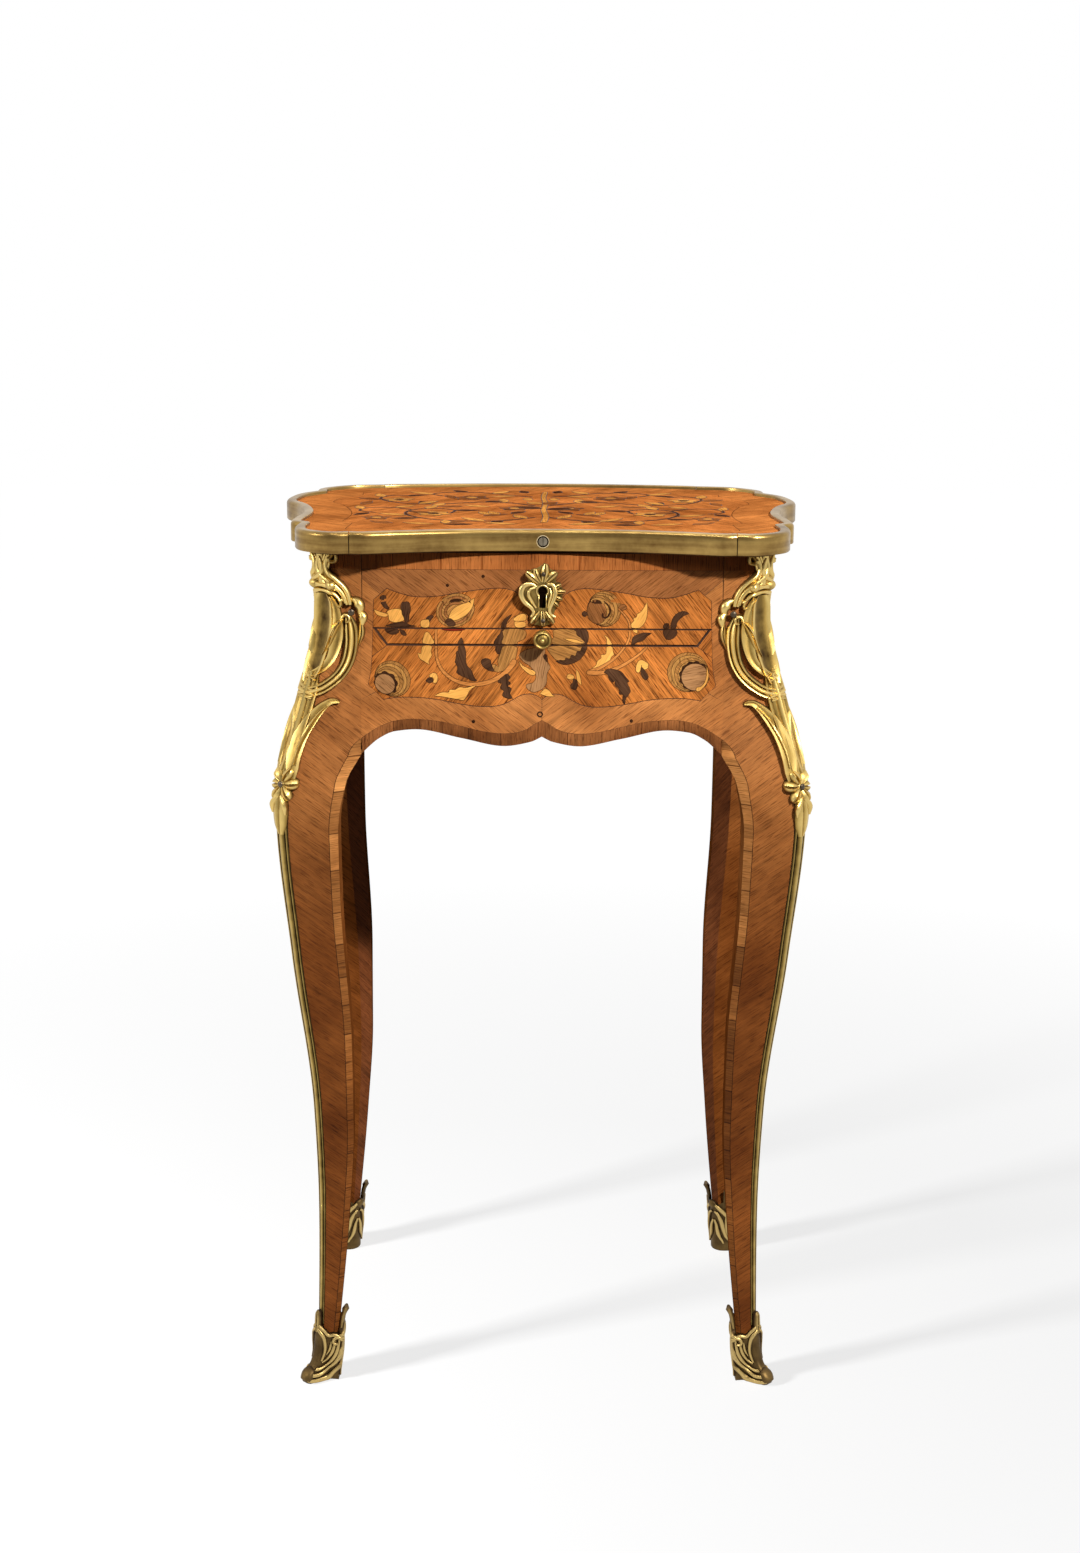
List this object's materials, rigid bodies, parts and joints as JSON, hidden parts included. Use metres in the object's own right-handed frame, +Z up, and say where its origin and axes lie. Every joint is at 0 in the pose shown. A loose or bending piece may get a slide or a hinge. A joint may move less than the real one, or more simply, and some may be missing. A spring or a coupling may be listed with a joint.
{
  "type": "salon table",
  "caption": "Small cabriole-legged salon table with a brass-edged hinged top, marquetry front, pull-out writing slide and gilt corner mounts",
  "frame": {"origin": "On the floor, under the middle of the table's box", "axes": "+Z up, the front with the keyhole faces -Y, +X to the right seen from the front"},
  "size_m": [0.419, 0.3276, 0.7],
  "materials": {
    "leg_veneer": "kingwood veneer, french polished, laid in feathered bands with cross-banded edges",
    "panel_veneer": "tulipwood veneer with floral marquetry, french polished",
    "top_veneer": "quarter-veneered tulipwood with floral marquetry, french polished",
    "carcass_wood": "plain oak, waxed",
    "edge_brass": "worn polished brass",
    "gilt_bronze": "chased gilt bronze",
    "cast_bronze": "darkened cast bronze",
    "lock_steel": "old filed steel",
    "slide_leather": "dark red writing leather"
  },
  "bodies": {
    "carcass": {"leg_front_left": "leg_veneer", "leg_front_right": "leg_veneer", "leg_back_left": "leg_veneer", "leg_back_right": "leg_veneer", "front_apron": "leg_veneer", "back_panel": "leg_veneer", "side_panel_left": "leg_veneer", "side_panel_right": "leg_veneer", "front_rail": "panel_veneer", "well_floor": "carcass_wood", "slide_runner_left": "carcass_wood", "slide_runner_right": "carcass_wood", "bottom_board": "carcass_wood", "leg_fillet_front_left": "edge_brass", "leg_fillet_front_right": "edge_brass", "leg_fillet_back_left": "edge_brass", "leg_fillet_back_right": "edge_brass", "hinge_body_left": "edge_brass", "hinge_body_right": "edge_brass", "corner_mount_front_left": "gilt_bronze", "corner_mount_front_right": "gilt_bronze", "corner_mount_back_left": "gilt_bronze", "corner_mount_back_right": "gilt_bronze", "escutcheon": "gilt_bronze", "escutcheon_pin_upper": "gilt_bronze", "escutcheon_pin_lower": "gilt_bronze", "sabot_front_left": "cast_bronze", "sabot_front_right": "cast_bronze", "sabot_back_left": "cast_bronze", "sabot_back_right": "cast_bronze", "mount_nail_front_left_upper": "cast_bronze", "mount_nail_front_left_lower": "cast_bronze", "mount_nail_front_right_upper": "cast_bronze", "mount_nail_front_right_lower": "cast_bronze", "mount_nail_back_left_upper": "cast_bronze", "mount_nail_back_left_lower": "cast_bronze", "mount_nail_back_right_upper": "cast_bronze", "mount_nail_back_right_lower": "cast_bronze", "hinge_pin_left": "lock_steel", "hinge_pin_right": "lock_steel", "lock_case": "lock_steel"},
    "lid": {"top_panel": "top_veneer", "rim_front": "edge_brass", "rim_back": "edge_brass", "rim_left": "edge_brass", "rim_right": "edge_brass", "rim_screw_front": "lock_steel", "rim_screw_back": "lock_steel", "rim_screw_left": "lock_steel", "rim_screw_right": "lock_steel", "hinge_lid_left": "edge_brass", "hinge_lid_right": "edge_brass", "lock_staple": "lock_steel"},
    "slide": {"slide_front": "panel_veneer", "slide_board": "carcass_wood", "slide_leather": "slide_leather", "slide_knob": "edge_brass"},
    "bolt": {"lock_bolt": "lock_steel"}
  },
  "joints": [
    {"name": "lid_hinge", "type": "hinge", "parent": "carcass", "child": "lid", "pos_m": [0, 0.1385, 0.68215], "axis": [-1, 0, 0], "range_deg": [0, 95]},
    {"name": "slide_pull", "type": "slide", "parent": "carcass", "child": "slide", "axis": [0, -1, 0], "range_m": [0, 0.18]},
    {"name": "bolt_throw", "type": "slide", "parent": "carcass", "child": "bolt", "axis": [1, 0, 0], "range_m": [0, 0.0072]}
  ]
}
